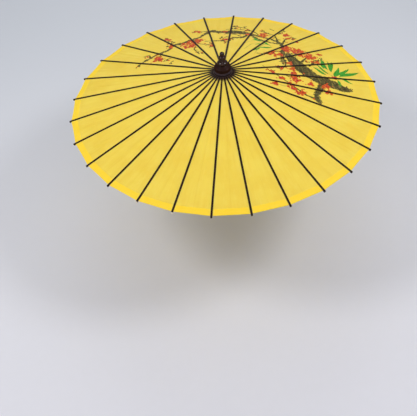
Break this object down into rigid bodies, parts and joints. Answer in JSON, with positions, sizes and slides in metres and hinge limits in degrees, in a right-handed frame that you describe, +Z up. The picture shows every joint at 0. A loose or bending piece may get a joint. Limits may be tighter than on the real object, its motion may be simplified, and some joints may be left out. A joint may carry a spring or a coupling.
{
  "type": "oil paper umbrella",
  "caption": "Open folding parasol of painted yellow oiled paper on dark split bamboo ribs, with a turned finial, a sliding runner and a straight pole with a grip.",
  "frame": {"origin": "centre of the pole's lower end", "axes": "+Z up the pole towards the finial; +X towards the first rib; the ribs follow counter-clockwise seen from above"},
  "size_m": [0.842, 0.842, 0.5725],
  "materials": {
    "oiled_paper": "oiled paper with a soft sheen, painted with a blossom branch",
    "lacquered_bamboo": "dark lacquered split bamboo, satin",
    "stretcher_bamboo": "stained split bamboo, satin",
    "lacquered_wood": "near-black lacquer on turned wood, gloss",
    "turned_wood": "dark stained turned wood, satin"
  },
  "bodies": {
    "shaft": {"pole": "turned_wood", "head": "lacquered_wood", "canopy": "oiled_paper"},
    "rib_01": {"rib_01": "lacquered_bamboo"},
    "stretcher_01": {"stretcher_01": "stretcher_bamboo"},
    "rib_02": {"rib_02": "lacquered_bamboo"},
    "stretcher_02": {"stretcher_02": "stretcher_bamboo"},
    "rib_03": {"rib_03": "lacquered_bamboo"},
    "stretcher_03": {"stretcher_03": "stretcher_bamboo"},
    "rib_04": {"rib_04": "lacquered_bamboo"},
    "stretcher_04": {"stretcher_04": "stretcher_bamboo"},
    "rib_05": {"rib_05": "lacquered_bamboo"},
    "stretcher_05": {"stretcher_05": "stretcher_bamboo"},
    "rib_06": {"rib_06": "lacquered_bamboo"},
    "stretcher_06": {"stretcher_06": "stretcher_bamboo"},
    "rib_07": {"rib_07": "lacquered_bamboo"},
    "stretcher_07": {"stretcher_07": "stretcher_bamboo"},
    "rib_08": {"rib_08": "lacquered_bamboo"},
    "stretcher_08": {"stretcher_08": "stretcher_bamboo"},
    "rib_09": {"rib_09": "lacquered_bamboo"},
    "stretcher_09": {"stretcher_09": "stretcher_bamboo"},
    "rib_10": {"rib_10": "lacquered_bamboo"},
    "stretcher_10": {"stretcher_10": "stretcher_bamboo"},
    "rib_11": {"rib_11": "lacquered_bamboo"},
    "stretcher_11": {"stretcher_11": "stretcher_bamboo"},
    "rib_12": {"rib_12": "lacquered_bamboo"},
    "stretcher_12": {"stretcher_12": "stretcher_bamboo"},
    "rib_13": {"rib_13": "lacquered_bamboo"},
    "stretcher_13": {"stretcher_13": "stretcher_bamboo"},
    "rib_14": {"rib_14": "lacquered_bamboo"},
    "stretcher_14": {"stretcher_14": "stretcher_bamboo"},
    "rib_15": {"rib_15": "lacquered_bamboo"},
    "stretcher_15": {"stretcher_15": "stretcher_bamboo"},
    "rib_16": {"rib_16": "lacquered_bamboo"},
    "stretcher_16": {"stretcher_16": "stretcher_bamboo"},
    "rib_17": {"rib_17": "lacquered_bamboo"},
    "stretcher_17": {"stretcher_17": "stretcher_bamboo"},
    "rib_18": {"rib_18": "lacquered_bamboo"},
    "stretcher_18": {"stretcher_18": "stretcher_bamboo"},
    "rib_19": {"rib_19": "lacquered_bamboo"},
    "stretcher_19": {"stretcher_19": "stretcher_bamboo"},
    "rib_20": {"rib_20": "lacquered_bamboo"},
    "stretcher_20": {"stretcher_20": "stretcher_bamboo"},
    "rib_21": {"rib_21": "lacquered_bamboo"},
    "stretcher_21": {"stretcher_21": "stretcher_bamboo"},
    "rib_22": {"rib_22": "lacquered_bamboo"},
    "stretcher_22": {"stretcher_22": "stretcher_bamboo"},
    "rib_23": {"rib_23": "lacquered_bamboo"},
    "stretcher_23": {"stretcher_23": "stretcher_bamboo"},
    "rib_24": {"rib_24": "lacquered_bamboo"},
    "stretcher_24": {"stretcher_24": "stretcher_bamboo"},
    "rib_25": {"rib_25": "lacquered_bamboo"},
    "stretcher_25": {"stretcher_25": "stretcher_bamboo"},
    "rib_26": {"rib_26": "lacquered_bamboo"},
    "stretcher_26": {"stretcher_26": "stretcher_bamboo"},
    "rib_27": {"rib_27": "lacquered_bamboo"},
    "stretcher_27": {"stretcher_27": "stretcher_bamboo"},
    "rib_28": {"rib_28": "lacquered_bamboo"},
    "stretcher_28": {"stretcher_28": "stretcher_bamboo"},
    "runner": {"runner": "turned_wood"}
  },
  "joints": [
    {"name": "fold", "type": "hinge", "parent": "shaft", "child": "rib_01", "pos_m": [0.016, 0, 0.51], "axis": [0, 1, 0], "range_deg": [0, 73], "deforming": ["canopy"]},
    {"name": "rib_02_hinge", "type": "hinge", "parent": "shaft", "child": "rib_02", "pos_m": [0.0156, 0.00356, 0.51], "axis": [-0.2225, 0.9749, 0], "range_deg": [0, 73]},
    {"name": "rib_03_hinge", "type": "hinge", "parent": "shaft", "child": "rib_03", "pos_m": [0.01442, 0.00694, 0.51], "axis": [-0.4339, 0.901, 0], "range_deg": [0, 73]},
    {"name": "rib_04_hinge", "type": "hinge", "parent": "shaft", "child": "rib_04", "pos_m": [0.01251, 0.00998, 0.51], "axis": [-0.6235, 0.7818, 0], "range_deg": [0, 73]},
    {"name": "rib_05_hinge", "type": "hinge", "parent": "shaft", "child": "rib_05", "pos_m": [0.00998, 0.01251, 0.51], "axis": [-0.7818, 0.6235, 0], "range_deg": [0, 73]},
    {"name": "rib_06_hinge", "type": "hinge", "parent": "shaft", "child": "rib_06", "pos_m": [0.00694, 0.01442, 0.51], "axis": [-0.901, 0.4339, 0], "range_deg": [0, 73]},
    {"name": "rib_07_hinge", "type": "hinge", "parent": "shaft", "child": "rib_07", "pos_m": [0.00356, 0.0156, 0.51], "axis": [-0.9749, 0.2225, 0], "range_deg": [0, 73]},
    {"name": "rib_08_hinge", "type": "hinge", "parent": "shaft", "child": "rib_08", "pos_m": [0, 0.016, 0.51], "axis": [-1, 0, 0], "range_deg": [0, 73]},
    {"name": "rib_09_hinge", "type": "hinge", "parent": "shaft", "child": "rib_09", "pos_m": [-0.00356, 0.0156, 0.51], "axis": [-0.9749, -0.2225, 0], "range_deg": [0, 73]},
    {"name": "rib_10_hinge", "type": "hinge", "parent": "shaft", "child": "rib_10", "pos_m": [-0.00694, 0.01442, 0.51], "axis": [-0.901, -0.4339, 0], "range_deg": [0, 73]},
    {"name": "rib_11_hinge", "type": "hinge", "parent": "shaft", "child": "rib_11", "pos_m": [-0.00998, 0.01251, 0.51], "axis": [-0.7818, -0.6235, 0], "range_deg": [0, 73]},
    {"name": "rib_12_hinge", "type": "hinge", "parent": "shaft", "child": "rib_12", "pos_m": [-0.01251, 0.00998, 0.51], "axis": [-0.6235, -0.7818, 0], "range_deg": [0, 73]},
    {"name": "rib_13_hinge", "type": "hinge", "parent": "shaft", "child": "rib_13", "pos_m": [-0.01442, 0.00694, 0.51], "axis": [-0.4339, -0.901, 0], "range_deg": [0, 73]},
    {"name": "rib_14_hinge", "type": "hinge", "parent": "shaft", "child": "rib_14", "pos_m": [-0.0156, 0.00356, 0.51], "axis": [-0.2225, -0.9749, 0], "range_deg": [0, 73]},
    {"name": "rib_15_hinge", "type": "hinge", "parent": "shaft", "child": "rib_15", "pos_m": [-0.016, 0, 0.51], "axis": [0, -1, 0], "range_deg": [0, 73]},
    {"name": "rib_16_hinge", "type": "hinge", "parent": "shaft", "child": "rib_16", "pos_m": [-0.0156, -0.00356, 0.51], "axis": [0.2225, -0.9749, 0], "range_deg": [0, 73]},
    {"name": "rib_17_hinge", "type": "hinge", "parent": "shaft", "child": "rib_17", "pos_m": [-0.01442, -0.00694, 0.51], "axis": [0.4339, -0.901, 0], "range_deg": [0, 73]},
    {"name": "rib_18_hinge", "type": "hinge", "parent": "shaft", "child": "rib_18", "pos_m": [-0.01251, -0.00998, 0.51], "axis": [0.6235, -0.7818, 0], "range_deg": [0, 73]},
    {"name": "rib_19_hinge", "type": "hinge", "parent": "shaft", "child": "rib_19", "pos_m": [-0.00998, -0.01251, 0.51], "axis": [0.7818, -0.6235, 0], "range_deg": [0, 73]},
    {"name": "rib_20_hinge", "type": "hinge", "parent": "shaft", "child": "rib_20", "pos_m": [-0.00694, -0.01442, 0.51], "axis": [0.901, -0.4339, 0], "range_deg": [0, 73]},
    {"name": "rib_21_hinge", "type": "hinge", "parent": "shaft", "child": "rib_21", "pos_m": [-0.00356, -0.0156, 0.51], "axis": [0.9749, -0.2225, 0], "range_deg": [0, 73]},
    {"name": "rib_22_hinge", "type": "hinge", "parent": "shaft", "child": "rib_22", "pos_m": [0, -0.016, 0.51], "axis": [1, 0, 0], "range_deg": [0, 73]},
    {"name": "rib_23_hinge", "type": "hinge", "parent": "shaft", "child": "rib_23", "pos_m": [0.00356, -0.0156, 0.51], "axis": [0.9749, 0.2225, 0], "range_deg": [0, 73]},
    {"name": "rib_24_hinge", "type": "hinge", "parent": "shaft", "child": "rib_24", "pos_m": [0.00694, -0.01442, 0.51], "axis": [0.901, 0.4339, 0], "range_deg": [0, 73]},
    {"name": "rib_25_hinge", "type": "hinge", "parent": "shaft", "child": "rib_25", "pos_m": [0.00998, -0.01251, 0.51], "axis": [0.7818, 0.6235, 0], "range_deg": [0, 73]},
    {"name": "rib_26_hinge", "type": "hinge", "parent": "shaft", "child": "rib_26", "pos_m": [0.01251, -0.00998, 0.51], "axis": [0.6235, 0.7818, 0], "range_deg": [0, 73]},
    {"name": "rib_27_hinge", "type": "hinge", "parent": "shaft", "child": "rib_27", "pos_m": [0.01442, -0.00694, 0.51], "axis": [0.4339, 0.901, 0], "range_deg": [0, 73]},
    {"name": "rib_28_hinge", "type": "hinge", "parent": "shaft", "child": "rib_28", "pos_m": [0.0156, -0.00356, 0.51], "axis": [0.2225, 0.9749, 0], "range_deg": [0, 73]},
    {"name": "stretcher_01_hinge", "type": "hinge", "parent": "rib_01", "child": "stretcher_01", "pos_m": [0.20036, 0, 0.46403], "axis": [0, 1, 0], "range_deg": [-146, 0]},
    {"name": "stretcher_02_hinge", "type": "hinge", "parent": "rib_02", "child": "stretcher_02", "pos_m": [0.19533, 0.04458, 0.46403], "axis": [-0.2225, 0.9749, 0], "range_deg": [-146, 0]},
    {"name": "stretcher_03_hinge", "type": "hinge", "parent": "rib_03", "child": "stretcher_03", "pos_m": [0.18051, 0.08693, 0.46403], "axis": [-0.4339, 0.901, 0], "range_deg": [-146, 0]},
    {"name": "stretcher_04_hinge", "type": "hinge", "parent": "rib_04", "child": "stretcher_04", "pos_m": [0.15664, 0.12492, 0.46403], "axis": [-0.6235, 0.7818, 0], "range_deg": [-146, 0]},
    {"name": "stretcher_05_hinge", "type": "hinge", "parent": "rib_05", "child": "stretcher_05", "pos_m": [0.12492, 0.15664, 0.46403], "axis": [-0.7818, 0.6235, 0], "range_deg": [-146, 0]},
    {"name": "stretcher_06_hinge", "type": "hinge", "parent": "rib_06", "child": "stretcher_06", "pos_m": [0.08693, 0.18051, 0.46403], "axis": [-0.901, 0.4339, 0], "range_deg": [-146, 0]},
    {"name": "stretcher_07_hinge", "type": "hinge", "parent": "rib_07", "child": "stretcher_07", "pos_m": [0.04458, 0.19533, 0.46403], "axis": [-0.9749, 0.2225, 0], "range_deg": [-146, 0]},
    {"name": "stretcher_08_hinge", "type": "hinge", "parent": "rib_08", "child": "stretcher_08", "pos_m": [0, 0.20036, 0.46403], "axis": [-1, 0, 0], "range_deg": [-146, 0]},
    {"name": "stretcher_09_hinge", "type": "hinge", "parent": "rib_09", "child": "stretcher_09", "pos_m": [-0.04458, 0.19533, 0.46403], "axis": [-0.9749, -0.2225, 0], "range_deg": [-146, 0]},
    {"name": "stretcher_10_hinge", "type": "hinge", "parent": "rib_10", "child": "stretcher_10", "pos_m": [-0.08693, 0.18051, 0.46403], "axis": [-0.901, -0.4339, 0], "range_deg": [-146, 0]},
    {"name": "stretcher_11_hinge", "type": "hinge", "parent": "rib_11", "child": "stretcher_11", "pos_m": [-0.12492, 0.15664, 0.46403], "axis": [-0.7818, -0.6235, 0], "range_deg": [-146, 0]},
    {"name": "stretcher_12_hinge", "type": "hinge", "parent": "rib_12", "child": "stretcher_12", "pos_m": [-0.15664, 0.12492, 0.46403], "axis": [-0.6235, -0.7818, 0], "range_deg": [-146, 0]},
    {"name": "stretcher_13_hinge", "type": "hinge", "parent": "rib_13", "child": "stretcher_13", "pos_m": [-0.18051, 0.08693, 0.46403], "axis": [-0.4339, -0.901, 0], "range_deg": [-146, 0]},
    {"name": "stretcher_14_hinge", "type": "hinge", "parent": "rib_14", "child": "stretcher_14", "pos_m": [-0.19533, 0.04458, 0.46403], "axis": [-0.2225, -0.9749, 0], "range_deg": [-146, 0]},
    {"name": "stretcher_15_hinge", "type": "hinge", "parent": "rib_15", "child": "stretcher_15", "pos_m": [-0.20036, 0, 0.46403], "axis": [0, -1, 0], "range_deg": [-146, 0]},
    {"name": "stretcher_16_hinge", "type": "hinge", "parent": "rib_16", "child": "stretcher_16", "pos_m": [-0.19533, -0.04458, 0.46403], "axis": [0.2225, -0.9749, 0], "range_deg": [-146, 0]},
    {"name": "stretcher_17_hinge", "type": "hinge", "parent": "rib_17", "child": "stretcher_17", "pos_m": [-0.18051, -0.08693, 0.46403], "axis": [0.4339, -0.901, 0], "range_deg": [-146, 0]},
    {"name": "stretcher_18_hinge", "type": "hinge", "parent": "rib_18", "child": "stretcher_18", "pos_m": [-0.15664, -0.12492, 0.46403], "axis": [0.6235, -0.7818, 0], "range_deg": [-146, 0]},
    {"name": "stretcher_19_hinge", "type": "hinge", "parent": "rib_19", "child": "stretcher_19", "pos_m": [-0.12492, -0.15664, 0.46403], "axis": [0.7818, -0.6235, 0], "range_deg": [-146, 0]},
    {"name": "stretcher_20_hinge", "type": "hinge", "parent": "rib_20", "child": "stretcher_20", "pos_m": [-0.08693, -0.18051, 0.46403], "axis": [0.901, -0.4339, 0], "range_deg": [-146, 0]},
    {"name": "stretcher_21_hinge", "type": "hinge", "parent": "rib_21", "child": "stretcher_21", "pos_m": [-0.04458, -0.19533, 0.46403], "axis": [0.9749, -0.2225, 0], "range_deg": [-146, 0]},
    {"name": "stretcher_22_hinge", "type": "hinge", "parent": "rib_22", "child": "stretcher_22", "pos_m": [0, -0.20036, 0.46403], "axis": [1, 0, 0], "range_deg": [-146, 0]},
    {"name": "stretcher_23_hinge", "type": "hinge", "parent": "rib_23", "child": "stretcher_23", "pos_m": [0.04458, -0.19533, 0.46403], "axis": [0.9749, 0.2225, 0], "range_deg": [-146, 0]},
    {"name": "stretcher_24_hinge", "type": "hinge", "parent": "rib_24", "child": "stretcher_24", "pos_m": [0.08693, -0.18051, 0.46403], "axis": [0.901, 0.4339, 0], "range_deg": [-146, 0]},
    {"name": "stretcher_25_hinge", "type": "hinge", "parent": "rib_25", "child": "stretcher_25", "pos_m": [0.12492, -0.15664, 0.46403], "axis": [0.7818, 0.6235, 0], "range_deg": [-146, 0]},
    {"name": "stretcher_26_hinge", "type": "hinge", "parent": "rib_26", "child": "stretcher_26", "pos_m": [0.15664, -0.12492, 0.46403], "axis": [0.6235, 0.7818, 0], "range_deg": [-146, 0]},
    {"name": "stretcher_27_hinge", "type": "hinge", "parent": "rib_27", "child": "stretcher_27", "pos_m": [0.18051, -0.08693, 0.46403], "axis": [0.4339, 0.901, 0], "range_deg": [-146, 0]},
    {"name": "stretcher_28_hinge", "type": "hinge", "parent": "rib_28", "child": "stretcher_28", "pos_m": [0.19533, -0.04458, 0.46403], "axis": [0.2225, 0.9749, 0], "range_deg": [-146, 0]},
    {"name": "runner_hinge", "type": "hinge", "parent": "stretcher_01", "child": "runner", "pos_m": [0.016, 0, 0.41807], "axis": [0, 1, 0], "range_deg": [0, 73]}
  ],
  "couplings": [
    {"joint": "rib_02_hinge", "follows": "fold", "ratio": 1},
    {"joint": "rib_03_hinge", "follows": "fold", "ratio": 1},
    {"joint": "rib_04_hinge", "follows": "fold", "ratio": 1},
    {"joint": "rib_05_hinge", "follows": "fold", "ratio": 1},
    {"joint": "rib_06_hinge", "follows": "fold", "ratio": 1},
    {"joint": "rib_07_hinge", "follows": "fold", "ratio": 1},
    {"joint": "rib_08_hinge", "follows": "fold", "ratio": 1},
    {"joint": "rib_09_hinge", "follows": "fold", "ratio": 1},
    {"joint": "rib_10_hinge", "follows": "fold", "ratio": 1},
    {"joint": "rib_11_hinge", "follows": "fold", "ratio": 1},
    {"joint": "rib_12_hinge", "follows": "fold", "ratio": 1},
    {"joint": "rib_13_hinge", "follows": "fold", "ratio": 1},
    {"joint": "rib_14_hinge", "follows": "fold", "ratio": 1},
    {"joint": "rib_15_hinge", "follows": "fold", "ratio": 1},
    {"joint": "rib_16_hinge", "follows": "fold", "ratio": 1},
    {"joint": "rib_17_hinge", "follows": "fold", "ratio": 1},
    {"joint": "rib_18_hinge", "follows": "fold", "ratio": 1},
    {"joint": "rib_19_hinge", "follows": "fold", "ratio": 1},
    {"joint": "rib_20_hinge", "follows": "fold", "ratio": 1},
    {"joint": "rib_21_hinge", "follows": "fold", "ratio": 1},
    {"joint": "rib_22_hinge", "follows": "fold", "ratio": 1},
    {"joint": "rib_23_hinge", "follows": "fold", "ratio": 1},
    {"joint": "rib_24_hinge", "follows": "fold", "ratio": 1},
    {"joint": "rib_25_hinge", "follows": "fold", "ratio": 1},
    {"joint": "rib_26_hinge", "follows": "fold", "ratio": 1},
    {"joint": "rib_27_hinge", "follows": "fold", "ratio": 1},
    {"joint": "rib_28_hinge", "follows": "fold", "ratio": 1},
    {"joint": "stretcher_01_hinge", "follows": "fold", "ratio": -2},
    {"joint": "stretcher_02_hinge", "follows": "fold", "ratio": -2},
    {"joint": "stretcher_03_hinge", "follows": "fold", "ratio": -2},
    {"joint": "stretcher_04_hinge", "follows": "fold", "ratio": -2},
    {"joint": "stretcher_05_hinge", "follows": "fold", "ratio": -2},
    {"joint": "stretcher_06_hinge", "follows": "fold", "ratio": -2},
    {"joint": "stretcher_07_hinge", "follows": "fold", "ratio": -2},
    {"joint": "stretcher_08_hinge", "follows": "fold", "ratio": -2},
    {"joint": "stretcher_09_hinge", "follows": "fold", "ratio": -2},
    {"joint": "stretcher_10_hinge", "follows": "fold", "ratio": -2},
    {"joint": "stretcher_11_hinge", "follows": "fold", "ratio": -2},
    {"joint": "stretcher_12_hinge", "follows": "fold", "ratio": -2},
    {"joint": "stretcher_13_hinge", "follows": "fold", "ratio": -2},
    {"joint": "stretcher_14_hinge", "follows": "fold", "ratio": -2},
    {"joint": "stretcher_15_hinge", "follows": "fold", "ratio": -2},
    {"joint": "stretcher_16_hinge", "follows": "fold", "ratio": -2},
    {"joint": "stretcher_17_hinge", "follows": "fold", "ratio": -2},
    {"joint": "stretcher_18_hinge", "follows": "fold", "ratio": -2},
    {"joint": "stretcher_19_hinge", "follows": "fold", "ratio": -2},
    {"joint": "stretcher_20_hinge", "follows": "fold", "ratio": -2},
    {"joint": "stretcher_21_hinge", "follows": "fold", "ratio": -2},
    {"joint": "stretcher_22_hinge", "follows": "fold", "ratio": -2},
    {"joint": "stretcher_23_hinge", "follows": "fold", "ratio": -2},
    {"joint": "stretcher_24_hinge", "follows": "fold", "ratio": -2},
    {"joint": "stretcher_25_hinge", "follows": "fold", "ratio": -2},
    {"joint": "stretcher_26_hinge", "follows": "fold", "ratio": -2},
    {"joint": "stretcher_27_hinge", "follows": "fold", "ratio": -2},
    {"joint": "stretcher_28_hinge", "follows": "fold", "ratio": -2},
    {"joint": "runner_hinge", "follows": "fold", "ratio": 1}
  ]
}
